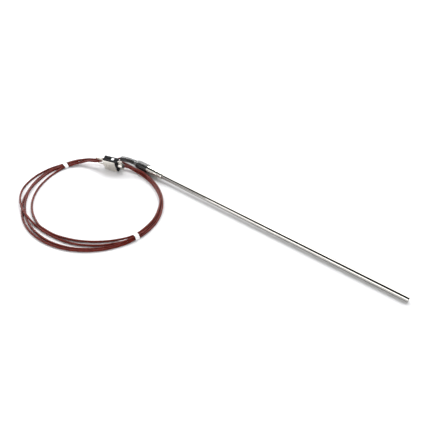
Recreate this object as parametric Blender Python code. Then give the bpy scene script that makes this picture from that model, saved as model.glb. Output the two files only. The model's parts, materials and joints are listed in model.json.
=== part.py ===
"""Mineral-insulated thermocouple probe with a coiled lead and a miniature two-pin plug.

The probe lies on the table along X, its closed tip towards +X, and the table is z = 0.
Its lead leaves the shrink-sleeved end, winds four times round a tied coil and ends in the plug.
"""
import math

import bmesh
import bpy
from mathutils import Euler, Matrix, Vector

MM = 0.001
GAP = 0.3 * MM

# Probe, measured along its own axis from the middle of its length
SHEATH_RADIUS = 3.175 * MM
SHEATH_WALL = 0.7 * MM
SHEATH_EXPOSED = 304.8 * MM
PROBE_LENGTH = 374.6 * MM
TIP_X = PROBE_LENGTH / 2
BACK_X = -PROBE_LENGTH / 2
COLLAR_FRONT_X = TIP_X - SHEATH_EXPOSED
COLLAR_LENGTH = 6.4 * MM
COLLAR_RADIUS = 4.15 * MM
SLEEVE_FRONT_X = COLLAR_FRONT_X - COLLAR_LENGTH - GAP
SLEEVE_RADIUS = 4.75 * MM
SLEEVE_BORE = 3.95 * MM
SLEEVE_LENGTH = 33.0 * MM
SLEEVE_BACK_X = SLEEVE_FRONT_X - SLEEVE_LENGTH
SHRINK_FRONT_X = COLLAR_FRONT_X - 24.4 * MM
LEAD_SPLIT_X = COLLAR_FRONT_X - 31.3 * MM
SHRINK_WIDE_LENGTH = 19.5 * MM
SHRINK_WIDE_RADIUS = 5.5 * MM
SHRINK_NARROW_RADIUS = 3.3 * MM
SHRINK_BEND_X = SHRINK_FRONT_X - 22.5 * MM
SHRINK_DROOP = 2.2 * MM
TIP_CAP_LENGTH = 1.8 * MM
TIP_ROUND = 0.8 * MM
ELEMENT_RADIUS = 0.5 * MM
ELEMENT_SPACING = 1.05 * MM
LEAD_RADIUS = 0.42 * MM

# The probe touches the table with its tip and with the shrink sleeve's front edge
TILT = math.asin((SHRINK_WIDE_RADIUS - SHEATH_RADIUS) / (TIP_X - TIP_ROUND - SHRINK_FRONT_X))
AXIS_HEIGHT = SHRINK_WIDE_RADIUS * math.cos(TILT) + SHRINK_FRONT_X * math.sin(TILT)

# Lead
CORD_RADIUS = 1.2 * MM
CORD_BORE = CORD_RADIUS + GAP

# Plug, in its own frame: x towards the cable end, y away from the clamp plate, z up
PLUG_LENGTH = 19.0 * MM
PLUG_WIDTH = 16.3 * MM
PLUG_DEPTH = 8.4 * MM
PIN_SPACING = 8.4 * MM
PIN_MIDDLE = -1.3 * MM
PIN_THICKNESS = 0.8 * MM
PIN_REACH = 12.0 * MM
PIN_INSIDE = 11.0 * MM
WIDE_PIN = 3.2 * MM
NARROW_PIN = 2.4 * MM
PLATE_THICKNESS = 0.8 * MM
STRAP_THICKNESS = 0.7 * MM
PLATE_BACK_X = 7.6 * MM
STRAP_BACK_X = 15.2 * MM
GROMMET_RADIUS = 2.3 * MM
TERMINAL_SCREW_X = 0.0 * MM
PLUG_HEADING = math.radians(18)
PLUG_LEAN = math.radians(16)
PLUG_PITCH = math.radians(2)
PLUG_CENTRE = Vector((-180.9 * MM, -23.0 * MM, 10.1 * MM))

# Coil: an oval on the table, with four turns that lie apart at the left and are tied at two places
COIL_CENTRE = Vector((-154 * MM, -79 * MM, 0))
COIL_RADIUS = 77 * MM
COIL_SWING = 7 * MM
TURNS = 4
TIE_ANGLES = (163.0, 350.5)
TIE_WIDTH = 4.4 * MM
TIE_THICKNESS = 0.5 * MM
FIRST_ANGLE = 150.0
LEAVING_ANGLE = 435.0

# One row for each station round a turn, in degrees and millimetres. Each of the four turns has
# its distance outside the oval and the height of its middle.
STATIONS = (
    (150.0, (2.60, 4.30), (0.30, 5.40), (-1.10, 3.40), (-3.45, 3.90)),
    (155.0, (3.50, 3.40), (1.15, 3.90), (-0.90, 2.70), (-3.20, 3.30)),
    (159.5, (4.10, 2.45), (1.75, 2.45), (-0.60, 2.45), (-2.95, 2.45)),
    (164.5, (4.10, 2.10), (1.75, 2.10), (-0.60, 2.10), (-2.95, 2.10)),
    (168.0, (4.60, 1.90), (2.10, 1.90), (-0.35, 1.90), (-3.40, 1.90)),
    (175.0, (6.40, 1.40), (3.40, 1.30), (0.80, 1.30), (-5.60, 1.30)),
    (190.0, (8.10, 1.20), (1.40, 1.20), (-1.00, 1.20), (-8.80, 1.20)),
    (205.0, (7.90, 1.50), (0.30, 1.20), (-1.70, 2.50), (-9.80, 1.20)),
    (218.0, (5.00, 2.60), (1.40, 1.20), (-1.15, 1.20), (-9.10, 1.20)),
    (231.0, (2.20, 3.65), (3.10, 1.20), (-0.25, 1.20), (-7.80, 1.20)),
    (244.0, (-0.10, 3.20), (5.35, 1.20), (1.50, 1.20), (-6.20, 1.20)),
    (260.0, (-1.85, 1.30), (7.50, 1.20), (3.70, 1.20), (-4.30, 1.20)),
    (270.0, (-2.20, 1.20), (8.10, 1.20), (4.40, 1.20), (-4.80, 1.20)),
    (280.0, (-2.50, 1.20), (8.40, 1.20), (5.00, 1.20), (-5.10, 1.20)),
    (300.0, (-2.00, 1.20), (7.40, 1.20), (4.60, 1.20), (-7.00, 1.20)),
    (320.0, (-1.80, 1.20), (5.60, 1.20), (3.10, 1.20), (-7.60, 1.20)),
    (337.0, (-0.55, 1.30), (4.20, 1.30), (1.85, 1.30), (-5.50, 1.30)),
    (342.0, (0.35, 1.60), (4.30, 1.60), (2.30, 3.00), (-2.70, 2.70)),
    (348.3, (1.40, 2.05), (3.80, 2.05), (2.60, 4.08), (0.20, 4.08)),
    (354.0, (1.40, 2.05), (3.80, 2.05), (2.60, 4.08), (0.20, 4.08)),
    (360.0, (-1.40, 1.40), (3.30, 1.60), (0.90, 2.20), (-0.75, 3.95)),
    (365.0, (-2.50, 1.30), (2.90, 1.40), (-0.10, 1.30), (-1.30, 3.40)),
    (375.0, (-2.70, 1.20), (2.30, 1.70), (-0.30, 1.20), (-1.50, 3.30)),
    (386.0, (-2.50, 1.20), (1.70, 2.90), (-0.10, 1.20), (-1.60, 3.30)),
    (397.0, (-1.15, 1.20), (1.20, 3.60), (1.25, 1.20), (-1.15, 3.60)),
    (408.0, (-1.45, 1.20), (0.95, 3.60), (0.95, 1.20), (-1.45, 3.60)),
    (420.0, (-1.30, 1.20), (1.10, 3.60), (1.10, 1.20), (-1.30, 3.60)),
    (427.0, (-1.05, 1.25), (1.45, 3.65), (1.40, 1.25), (-1.10, 5.00)),
    (435.0, (-0.70, 1.30), (1.80, 3.80), (1.70, 1.30), (-0.60, 6.40)),
    (450.0, (-1.06, 2.57), (0.20, 4.76), (1.46, 2.57), (-9.00, 4.00)),
    (458.5, (-0.87, 3.36), (-1.18, 5.87), (1.15, 4.88), (-9.00, 6.00)),
    (467.0, (-0.72, 4.59), (-2.51, 6.38), (-0.07, 7.03), (-9.00, 8.00)),
    (475.5, (-0.30, 6.76), (-2.82, 6.98), (-1.37, 9.05), (-9.00, 8.00)),
    (483.0, (-0.90, 8.50), (-3.15, 7.20), (-3.15, 9.80), (-9.00, 8.00)),
    (493.5, (-6.20, 9.70), (-8.40, 8.70), (-10.60, 9.70), (-9.00, 8.00)),
    (503.0, (-2.40, 7.70), (-4.60, 6.70), (-6.80, 7.70), (-9.00, 8.00)),
)

# The lead's loose ends in millimetres: out of the shrink sleeve to the coil, and from it to the plug
EXIT_ROUTE = (
    (-187.8, -2.3, 3.55),
    (-190.2, -3.1, 2.95),
    (-192.1, -5.9, 2.3),
    (-193.2, -10.2, 2.4),
    (-195.2, -14.6, 3.1),
    (-198.6, -18.9, 4.0),
    (-203.0, -22.5, 4.7),
    (-208.7, -25.7, 4.9),
    (-215.0, -29.1, 4.7),
    (-221.2, -33.1, 4.5),
)
PLUG_ROUTE = (
    (-149.5, -11.3, 7.7),
    (-155.2, -13.3, 8.5),
)


def clear_scene():
    for thing in list(bpy.data.objects):
        bpy.data.objects.remove(thing, do_unlink=True)


def material(name, colour, roughness, metallic=0.0):
    """A Principled material of one colour, made once for each name."""
    made = bpy.data.materials.get(name)
    if made:
        return made
    made = bpy.data.materials.new(name)
    made.use_nodes = True
    shader = made.node_tree.nodes["Principled BSDF"]
    shader.inputs["Base Color"].default_value = (*colour, 1)
    shader.inputs["Roughness"].default_value = roughness
    shader.inputs["Metallic"].default_value = metallic
    return made


STEEL = ("stainless_steel", (0.62, 0.62, 0.60), 0.22, 1.0)
NICKEL = ("nickel_plate", (0.72, 0.70, 0.64), 0.30, 1.0)
SHRINK = ("heat_shrink", (0.030, 0.030, 0.032), 0.35)
JACKET = ("lead_jacket", (0.17, 0.025, 0.02), 0.35)
PLASTIC = ("plug_plastic", (0.015, 0.015, 0.016), 0.45)
RUBBER = ("grommet_rubber", (0.02, 0.02, 0.02), 0.7)
TIE_WHITE = ("tie_nylon", (0.85, 0.85, 0.85), 0.45)
LABEL = ("label_white", (0.85, 0.85, 0.83), 0.6)
CERAMIC = ("magnesia", (0.80, 0.78, 0.72), 0.9)
IRON = ("iron_wire", (0.40, 0.39, 0.38), 0.35, 1.0)
CONSTANTAN = ("constantan_wire", (0.60, 0.52, 0.42), 0.3, 1.0)
POTTING = ("epoxy_potting", (0.08, 0.07, 0.06), 0.4)


def place(name, mesh, finish, parent=None):
    """An object of this mesh, with its material, under the given parent."""
    thing = bpy.data.objects.new(name, mesh)
    bpy.context.collection.objects.link(thing)
    thing.data.materials.append(material(*finish))
    thing.parent = parent
    return thing


def finished_mesh(name, shape, smooth_angle=35):
    """A bmesh closed, turned outwards and shaded smooth, as a mesh."""
    bmesh.ops.remove_doubles(shape, verts=shape.verts, dist=1e-7)
    bmesh.ops.recalc_face_normals(shape, faces=shape.faces)
    mesh = bpy.data.meshes.new(name)
    shape.to_mesh(mesh)
    shape.free()
    mesh.shade_smooth()
    mesh.set_sharp_from_angle(angle=math.radians(smooth_angle))
    return mesh


def turned(name, outline, finish, parent=None, segments=24, centre=(0, 0)):
    """A piece turned round an axis along X from a closed outline of (x, radius) points."""
    shape = bmesh.new()
    corners = [shape.verts.new((x, 0, radius)) for x, radius in outline]
    edges = [shape.edges.new((corners[i - 1], corners[i])) for i in range(len(corners))]
    bmesh.ops.spin(shape, geom=corners + edges, axis=(1, 0, 0), cent=(0, 0, 0),
                   angle=math.tau, steps=segments, use_merge=True)
    bmesh.ops.dissolve_degenerate(shape, dist=1e-7, edges=shape.edges)
    bmesh.ops.translate(shape, verts=shape.verts, vec=(0, centre[0], centre[1]))
    return place(name, finished_mesh(name, shape), finish, parent)


def rod(name, x_from, x_to, radius, finish, parent=None, segments=12, centre=(0, 0), round_end=0.0):
    """A solid round bar along X, its far end rounded off by round_end."""
    outline = [(x_from, 0), (x_from, radius)]
    if round_end:
        for step in range(5):
            angle = math.pi / 2 * step / 4
            outline.append((x_to - round_end + round_end * math.sin(angle),
                            radius - round_end + round_end * math.cos(angle)))
    else:
        outline.append((x_to, radius))
    outline.append((x_to, 0))
    return turned(name, outline, finish, parent, segments, centre)


def tube(name, x_from, x_to, outer, inner, finish, parent=None, segments=24, centre=(0, 0)):
    outline = [(x_from, inner), (x_from, outer), (x_to, outer), (x_to, inner)]
    return turned(name, outline, finish, parent, segments, centre)


def block(name, low, high, finish, parent=None, bevel=0.0):
    """A box between two corners, its edges rounded by bevel."""
    shape = bmesh.new()
    bmesh.ops.create_cube(shape, size=1)
    size = Vector(high) - Vector(low)
    middle = (Vector(high) + Vector(low)) / 2
    bmesh.ops.transform(shape, matrix=Matrix.Translation(middle) @ Matrix.Diagonal((*size, 1)),
                        verts=shape.verts)
    if bevel:
        bmesh.ops.bevel(shape, geom=shape.edges[:], offset=bevel, segments=2, affect="EDGES", profile=0.5)
    return place(name, finished_mesh(name, shape), finish, parent)


def cutter(name, mesh_object):
    mesh_object.name = name
    mesh_object.hide_render = True
    mesh_object.display_type = "WIRE"
    return mesh_object


def cut(piece, tool):
    """Takes the tool's shape out of the piece."""
    boolean = piece.modifiers.new("cut_" + tool.name, "BOOLEAN")
    boolean.operation = "DIFFERENCE"
    boolean.object = tool
    boolean.solver = "EXACT"


def cut_box(piece, name, low, high):
    cut(piece, cutter(name, block(name, low, high, PLASTIC, piece.parent)))


def cut_bore(piece, name, ends, radius, centre, along="x", segments=12):
    """Drills a round hole along the piece's x or y between two ends."""
    tool = rod(name, ends[0], ends[1], radius, PLASTIC, piece.parent, segments,
               centre if along == "x" else (0, 0))
    if along == "y":
        tool.rotation_euler = (0, 0, math.pi / 2)
        tool.location = (centre[0], 0, centre[1])
    cut(piece, cutter(name, tool))


# ---------------------------------------------------------------- probe


def make_sheath(frame):
    sheath_end = TIP_X - TIP_CAP_LENGTH - GAP
    tube("sheath", COLLAR_FRONT_X - 12 * MM, sheath_end, SHEATH_RADIUS, SHEATH_RADIUS - SHEATH_WALL,
         STEEL, frame, 32)
    rod("tip_cap", TIP_X - TIP_CAP_LENGTH, TIP_X, SHEATH_RADIUS, STEEL, frame, 32, round_end=TIP_ROUND)


def make_element(frame):
    """The two element wires in their magnesia filling, welded together behind the tip."""
    junction_front = TIP_X - TIP_CAP_LENGTH - 1.6 * MM
    junction_back = junction_front - 2.2 * MM
    filling_end = junction_back - GAP - 0.6 * MM
    filling_radius = SHEATH_RADIUS - SHEATH_WALL - GAP
    filling = rod("mineral_insulation", COLLAR_FRONT_X - 11 * MM, filling_end, filling_radius,
                  CERAMIC, frame, 24)
    for side, name, finish in ((1, "positive_element", IRON), (-1, "negative_element", CONSTANTAN)):
        middle = (side * ELEMENT_SPACING, 0)
        rod(name, COLLAR_FRONT_X - 15 * MM, junction_back - GAP, ELEMENT_RADIUS, finish, frame, 10,
            centre=middle)
        ends = (COLLAR_FRONT_X - 12 * MM, filling_end + 1 * MM)
        cut_bore(filling, name + "_bore", ends, ELEMENT_RADIUS + GAP, middle, segments=10)
    rod("hot_junction", junction_back, junction_front, ELEMENT_SPACING + ELEMENT_RADIUS + 0.2 * MM,
        CONSTANTAN, frame, 16, round_end=0.9 * MM)


def make_transition(frame):
    """The metal sleeve and collar that join the sheath to the lead, with what they hold."""
    collar_back = COLLAR_FRONT_X - COLLAR_LENGTH
    bore = SHEATH_RADIUS + GAP
    turned("sheath_collar", [
        (collar_back, bore),
        (collar_back, COLLAR_RADIUS),
        (COLLAR_FRONT_X - 0.6 * MM, COLLAR_RADIUS),
        (COLLAR_FRONT_X, COLLAR_RADIUS - 0.4 * MM),
        (COLLAR_FRONT_X, bore),
    ], STEEL, frame, 28)
    chamfer = 0.7 * MM
    groove_x = SLEEVE_FRONT_X - 3.2 * MM
    groove = 0.45 * MM
    turned("transition_sleeve", [
        (SLEEVE_BACK_X, SLEEVE_BORE),
        (SLEEVE_BACK_X, SLEEVE_RADIUS),
        (groove_x - 2 * groove, SLEEVE_RADIUS),
        (groove_x, SLEEVE_RADIUS - groove),
        (groove_x + 2 * groove, SLEEVE_RADIUS),
        (SLEEVE_FRONT_X - chamfer, SLEEVE_RADIUS),
        (SLEEVE_FRONT_X, SLEEVE_RADIUS - chamfer),
        (SLEEVE_FRONT_X, bore),
        (SLEEVE_FRONT_X - 5 * MM, bore),
        (SLEEVE_FRONT_X - 5 * MM, SLEEVE_BORE),
    ], STEEL, frame, 28)
    splice_back = COLLAR_FRONT_X - 23 * MM
    splice_front = splice_back + 5 * MM
    for side, polarity, finish in ((1, "positive", IRON), (-1, "negative", CONSTANTAN)):
        middle = (side * ELEMENT_SPACING, 0)
        rod(polarity + "_splice", splice_back, splice_front, 0.72 * MM, NICKEL, frame, 10, centre=middle)
        rod(polarity + "_lead_end", LEAD_SPLIT_X + GAP, splice_back - GAP, LEAD_RADIUS, finish, frame, 10,
            centre=middle)
    potting_radius = SLEEVE_BORE - GAP
    tube("potting_compound", SLEEVE_BACK_X + 0.5 * MM, COLLAR_FRONT_X - 14 * MM, potting_radius,
         ELEMENT_SPACING + 0.72 * MM + GAP, POTTING, frame, 20)


def make_shrink_sleeve(frame):
    """The heat-shrink strain relief: wide over the metal sleeve, narrow over the lead."""
    wide_back = SHRINK_FRONT_X - SHRINK_WIDE_LENGTH
    inside = SLEEVE_RADIUS + GAP
    shoulder = SLEEVE_BACK_X - GAP
    bend = [SHRINK_BEND_X - step * (SHRINK_BEND_X - BACK_X) / 6 for step in range(1, 6)]
    bent(turned("strain_relief", [
        (SHRINK_FRONT_X, inside),
        (SHRINK_FRONT_X, SHRINK_WIDE_RADIUS - 0.25 * MM),
        (SHRINK_FRONT_X - 0.4 * MM, SHRINK_WIDE_RADIUS),
        (wide_back + 5.0 * MM, SHRINK_WIDE_RADIUS),
        (wide_back + 3.0 * MM, SHRINK_WIDE_RADIUS - 0.35 * MM),
        (wide_back - 0.5 * MM, SHRINK_NARROW_RADIUS + 0.55 * MM),
        (wide_back - 3.0 * MM, SHRINK_NARROW_RADIUS),
    ] + [(x, SHRINK_NARROW_RADIUS) for x in bend] + [
        (BACK_X + 0.5 * MM, SHRINK_NARROW_RADIUS - 0.1 * MM),
        (BACK_X, SHRINK_NARROW_RADIUS - 0.5 * MM),
        (BACK_X, CORD_BORE),
    ] + [(x, CORD_BORE) for x in reversed(bend)] + [
        (shoulder - 2.0 * MM, CORD_BORE),
        (shoulder, SLEEVE_BORE),
        (shoulder, inside),
    ], SHRINK, frame, 28))
    bent(turned("lead_inner_end", [
        (LEAD_SPLIT_X, 0),
        (LEAD_SPLIT_X, CORD_RADIUS),
        (SHRINK_BEND_X, CORD_RADIUS),
    ] + [(x, CORD_RADIUS) for x in bend] + [
        (BACK_X, CORD_RADIUS),
        (BACK_X, 0),
    ], JACKET, frame, 12))


def bent(piece):
    """Bends a piece's cable end sideways and down, the way the narrow shrink tube has set."""
    for vertex in piece.data.vertices:
        along = (SHRINK_BEND_X - vertex.co.x) / (SHRINK_BEND_X - BACK_X)
        if along > 0:
            vertex.co.y -= SHRINK_DROOP * along ** 2
            vertex.co.z -= SHRINK_DROOP * along ** 2


# ---------------------------------------------------------------- lead


def oval(angle):
    """The coil's middle radius at an angle in degrees."""
    return COIL_RADIUS + COIL_SWING * math.cos(2 * math.radians(angle))


def eased(keys, angle):
    """A smooth value at an angle, through keys of (angle, value)."""
    last = len(keys) - 2
    i = 0
    while i < last and angle > keys[i + 1][0]:
        i += 1
    slopes = []
    for j in (i, i + 1):
        before = keys[max(j - 1, 0)]
        after = keys[min(j + 1, len(keys) - 1)]
        slopes.append((after[1] - before[1]) / (after[0] - before[0]))
    span = keys[i + 1][0] - keys[i][0]
    t = (angle - keys[i][0]) / span
    return ((2 * t ** 3 - 3 * t ** 2 + 1) * keys[i][1] + (t ** 3 - 2 * t ** 2 + t) * span * slopes[0]
            + (3 * t ** 2 - 2 * t ** 3) * keys[i + 1][1] + (t ** 3 - t ** 2) * span * slopes[1])


def coil_keys(part):
    """The whole winding's keys of (angle, value): part 0 is the offset, part 1 the height."""
    keys = []
    for turn in range(TURNS):
        for row in STATIONS:
            angle = row[0] + 360 * turn
            if angle <= LEAVING_ANGLE + 360 * (TURNS - 1):
                keys.append((angle, row[1 + turn][part] * MM))
    return keys


OFFSETS = coil_keys(0)
HEIGHTS = coil_keys(1)


def lead_height(angle):
    """The height of the lead's middle, which never sinks into the table."""
    return max(eased(HEIGHTS, angle), CORD_RADIUS + 0.02 * MM)


def coil_corner(angle, radius, height):
    turn = math.radians(angle)
    return COIL_CENTRE + Vector((radius * math.cos(turn), radius * math.sin(turn), height))


def coil_point(angle):
    """Where the lead's middle lies when it has wound to this angle."""
    return coil_corner(angle, oval(angle) + eased(OFFSETS, angle), lead_height(angle))


def smooth_route(points, steps):
    """Points read from a smooth curve through the route's own points."""
    route = []
    for i in range(len(points) - 1):
        p0 = points[max(i - 1, 0)]
        p1 = points[i]
        p2 = points[i + 1]
        p3 = points[min(i + 2, len(points) - 1)]
        for step in range(steps):
            t = step / steps
            route.append(0.5 * (2 * p1 + (p2 - p0) * t + (2 * p0 - 5 * p1 + 4 * p2 - p3) * t ** 2
                                + (3 * p1 - p0 - 3 * p2 + p3) * t ** 3))
    route.append(points[-1])
    return route


def cord_tube(name, points):
    curve = bpy.data.curves.new(name, "CURVE")
    curve.dimensions = "3D"
    curve.bevel_depth = CORD_RADIUS
    curve.bevel_resolution = 2
    curve.use_fill_caps = True
    spline = curve.splines.new("POLY")
    spline.points.add(len(points) - 1)
    for target, point in zip(spline.points, points):
        target.co = (*point, 1)
    return place(name, curve, JACKET)


def section_at(angle, margin=0.0):
    """The box round all turns at an angle: inner and outer radius, lowest and highest."""
    radii = []
    heights = []
    for turn in range(TURNS):
        wound = angle + 360 * turn
        if FIRST_ANGLE <= wound <= LEAVING_ANGLE + 360 * (TURNS - 1):
            radii.append(oval(angle) + eased(OFFSETS, wound))
            heights.append(lead_height(wound))
    reach = CORD_RADIUS + margin
    return min(radii) - reach, max(radii) + reach, min(heights) - reach, max(heights) + reach


def bevelled_box_outline(inner, outer, low, high, corner):
    return [
        (inner + corner, low),
        (outer - corner, low),
        (outer, low + corner),
        (outer, high - corner),
        (outer - corner, high),
        (inner + corner, high),
        (inner, high - corner),
        (inner, low + corner),
    ]


def bridge_rings(shape, rings, closed):
    """Skins a row of rings of vertices, closing the row on itself or capping its ends."""
    count = len(rings[0])
    for i in range(len(rings) - (0 if closed else 1)):
        near = rings[i]
        far = rings[(i + 1) % len(rings)]
        for j in range(count):
            k = (j + 1) % count
            shape.faces.new((near[j], near[k], far[k], far[j]))
    if not closed:
        shape.faces.new(rings[0])
        shape.faces.new(reversed(rings[-1]))


def make_coil():
    """One closed ring of the winding's outer shape."""
    shape = bmesh.new()
    rings = []
    steps = 72
    for step in range(steps):
        angle = FIRST_ANGLE + 360 * step / steps
        box = section_at(angle if angle < 360 else angle - 360)
        outline = bevelled_box_outline(*box, 0.5 * CORD_RADIUS)
        rings.append([shape.verts.new(coil_corner(angle, radius, height)) for radius, height in outline])
    bridge_rings(shape, rings, closed=True)
    place("lead_coil", finished_mesh("lead_coil", shape), JACKET)


def make_loose_leads():
    exit_points = [Vector(point) * MM for point in EXIT_ROUTE]
    cord_tube("lead_exit", smooth_route(exit_points, 2))
    leaving = coil_point(LEAVING_ANGLE + 360 * (TURNS - 1) + 6)
    plug_points = [leaving] + [Vector(point) * MM for point in PLUG_ROUTE] + plug_entry()
    cord_tube("lead_to_plug", smooth_route(plug_points, 3))


def make_tie(name, angle):
    """A flat band round all the turns, with rounded corners."""
    half_turn = math.degrees(TIE_WIDTH / 2 / oval(angle))
    boxes = [section_at(angle + side * half_turn * part, GAP) for side in (-1, 1) for part in (0.0, 0.5, 1.0)]
    inner = min(box[0] for box in boxes)
    outer = max(box[1] for box in boxes)
    low = min(box[2] for box in boxes)
    high = max(box[3] for box in boxes)
    shape = bmesh.new()
    rings = []
    for grow in (0.0, TIE_THICKNESS):
        outline = bevelled_box_outline(inner - grow, outer + grow, low - grow, high + grow,
                                       0.45 * CORD_RADIUS + grow)
        for side in (-1, 1):
            rings.append([shape.verts.new(coil_corner(angle + side * half_turn, radius, height))
                          for radius, height in outline])
    near_inner, far_inner, near_outer, far_outer = rings
    bridge_rings(shape, [near_inner, far_inner, far_outer, near_outer], closed=True)
    place(name, finished_mesh(name, shape), TIE_WHITE)


# ---------------------------------------------------------------- plug


def plug_frame():
    frame = bpy.data.objects.new("plug_frame", None)
    bpy.context.collection.objects.link(frame)
    frame.location = PLUG_CENTRE
    frame.rotation_euler = plug_turn()
    return frame


def plug_turn():
    return Euler((PLUG_LEAN, PLUG_PITCH, PLUG_HEADING), "XYZ")


def plug_point(x, y, z):
    """A point of the plug's own frame, in the world."""
    return PLUG_CENTRE + plug_turn().to_matrix() @ Vector((x, y, z))


def plug_entry():
    """The lead's last points: straight into the middle of the plug's cable end."""
    face = PLUG_LENGTH / 2
    return [plug_point(face + 14 * MM, 0, 0), plug_point(face + 8 * MM, 0, 0),
            plug_point(face + GAP, 0, 0)]


def make_plug_shells(frame):
    """The base behind the pins and the cover in front, each hollowed for a pin and its screw."""
    half_length = PLUG_LENGTH / 2
    half_width = PLUG_WIDTH / 2
    half_depth = PLUG_DEPTH / 2
    seam = GAP / 2
    room = GAP + PIN_THICKNESS / 2
    for name, low_y, high_y in (("plug_base", seam, half_depth), ("plug_cover", -half_depth, -seam)):
        shell = block(name, (-half_length, low_y, -half_width), (half_length, high_y, half_width),
                      PLASTIC, frame, 0.7 * MM)
        for side, width in ((1, WIDE_PIN), (-1, NARROW_PIN)):
            middle = PIN_MIDDLE + side * PIN_SPACING / 2
            reach = width / 2 + GAP
            slot = "%s_slot_%s" % (name, "upper" if side > 0 else "lower")
            cut_box(shell, slot, (-half_length - 1 * MM, -room, middle - reach),
                    (PIN_INSIDE - half_length + GAP, room, middle + reach))
            cut_bore(shell, slot + "_screw", (-2.9 * MM, 2.9 * MM), 1.9 * MM,
                     (TERMINAL_SCREW_X, middle), "y")
            cut_box(shell, slot + "_lead", (1.0 * MM, -0.9 * MM, middle - 0.75 * MM),
                    (5.0 * MM, 0.9 * MM, middle + 0.75 * MM))
        cut_box(shell, name + "_lead_way", (4.4 * MM, -0.9 * MM, -6.2 * MM), (7.0 * MM, 0.9 * MM, 3.8 * MM))
        cut_box(shell, name + "_mouth", (6.6 * MM, -1.2 * MM, -1.5 * MM),
                (half_length + 1 * MM, 1.2 * MM, 1.5 * MM))


def make_pins(frame):
    """Flat pins, wide above and narrow below, each with its terminal screw and lead end."""
    half_length = PLUG_LENGTH / 2
    for side, width, polarity, finish in ((1, WIDE_PIN, "negative", CONSTANTAN),
                                          (-1, NARROW_PIN, "positive", IRON)):
        middle = PIN_MIDDLE + side * PIN_SPACING / 2
        pin = block(polarity + "_pin",
                    (-half_length - PIN_REACH, -PIN_THICKNESS / 2, middle - width / 2),
                    (-half_length + PIN_INSIDE, PIN_THICKNESS / 2, middle + width / 2),
                    (polarity + "_pin_alloy", finish[1], 0.3, 1.0), frame, 0.22 * MM)
        cut_bore(pin, polarity + "_pin_hole", (-2 * MM, 2 * MM), 0.8 * MM + GAP / 2,
                 (TERMINAL_SCREW_X, middle), "y")
        screw(polarity + "_terminal_screw", (TERMINAL_SCREW_X, -PIN_THICKNESS / 2 - GAP, middle),
              1.45 * MM, 0.9 * MM, 0.65 * MM, 2.6 * MM, frame)
        start = TERMINAL_SCREW_X + 2.2 * MM
        rod(polarity + "_plug_lead", start, 6.4 * MM, LEAD_RADIUS, finish, frame, 8, (0.0, middle))


def screw(name, seat, head_radius, head_height, shank_radius, shank_length, frame):
    """A slotted pan-head screw whose head sits on seat, facing -y, with its shank along +y."""
    x, y, z = seat
    outline = [
        (0, 0),
        (0, head_radius),
        (-0.55 * head_height, head_radius),
        (-head_height, 0.7 * head_radius),
        (-head_height, 0),
    ]
    shank = [(shank_length, 0), (shank_length, shank_radius), (0, shank_radius)]
    body = turned(name, shank + outline[1:], NICKEL, frame, 14)
    body.rotation_euler = (0, 0, math.pi / 2)
    body.location = (x, y, z)
    slot = block(name + "_slot", (-head_height - 1 * MM, -head_radius - 1 * MM, -0.18 * MM),
                 (-0.55 * head_height, head_radius + 1 * MM, 0.18 * MM), NICKEL, frame)
    slot.rotation_euler = (math.radians(35), 0, math.pi / 2)
    slot.location = (x, y, z)
    cut(body, cutter(name + "_slot", slot))


def make_clamp(frame):
    """The nickel-plated plate on the cover, and behind the plug two straps that grip the lead."""
    half_length = PLUG_LENGTH / 2
    half_width = PLUG_WIDTH / 2
    face = -PLUG_DEPTH / 2 - GAP
    plate_face = face - PLATE_THICKNESS
    plate = block("clamp_plate", (0.7 * MM - half_length, plate_face, -half_width),
                  (PLATE_BACK_X, face, half_width), NICKEL, frame, 0.15 * MM)
    cover = bpy.data.objects["plug_cover"]
    for name, x, z in (("cover_screw_upper", -6.3 * MM, 1.6 * MM), ("cover_screw_lower", -3.2 * MM, 0.0),
                       ("cover_screw_rear", 6.1 * MM, -6.3 * MM)):
        cut_bore(plate, name + "_plate_hole", (-8 * MM, -3 * MM), 0.75 * MM + GAP, (x, z), "y")
        cut_bore(cover, name + "_cover_hole", (-8 * MM, -2.2 * MM), 0.75 * MM + GAP, (x, z), "y")
        screw(name, (x, plate_face - GAP, z), 1.15 * MM, 0.7 * MM, 0.75 * MM, 2.9 * MM, frame)
    straps = [make_strap("clamp_saddle", -1, frame), make_strap("clamp_bracket", 1, frame)]
    x = (half_length + STRAP_BACK_X) / 2 + 0.6 * MM
    for side, name in ((1, "clamp_screw_upper"), (-1, "clamp_screw_lower")):
        middle = side * 5.4 * MM
        for strap in straps:
            cut_bore(strap, "%s_%s_hole" % (name, strap.name), (-8 * MM, 8 * MM), 0.7 * MM + GAP,
                     (x, middle), "y")
        screw(name, (x, -STRAP_THICKNESS - 1.5 * GAP, middle), 1.1 * MM, 0.7 * MM, 0.7 * MM, 2.6 * MM, frame)
    tube("cable_grommet", half_length + GAP, STRAP_BACK_X + 2.2 * MM, GROMMET_RADIUS, CORD_BORE, RUBBER,
         frame, 16)


def make_strap(name, side, frame):
    """A flat strap with an arch that fits one half of the grommet, on the given side of the lead."""
    seat = GAP / 2
    inner = GROMMET_RADIUS + GAP
    reach = 7.4 * MM
    under = []
    over = []
    for step in range(9):
        angle = math.pi * step / 8
        under.append((inner * math.cos(angle), max(seat, inner * math.sin(angle))))
        outside = inner + STRAP_THICKNESS
        over.append((outside * math.cos(angle), max(seat + STRAP_THICKNESS, outside * math.sin(angle))))
    outline = ([(reach, seat)] + under + [(-reach, seat), (-reach, seat + STRAP_THICKNESS)]
               + over[::-1] + [(reach, seat + STRAP_THICKNESS)])
    shape = bmesh.new()
    rings = [[shape.verts.new((x, side * y, z)) for z, y in outline]
             for x in (PLUG_LENGTH / 2 + GAP, STRAP_BACK_X)]
    bridge_rings(shape, rings, closed=False)
    return place(name, finished_mesh(name, shape), NICKEL, frame)


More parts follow.
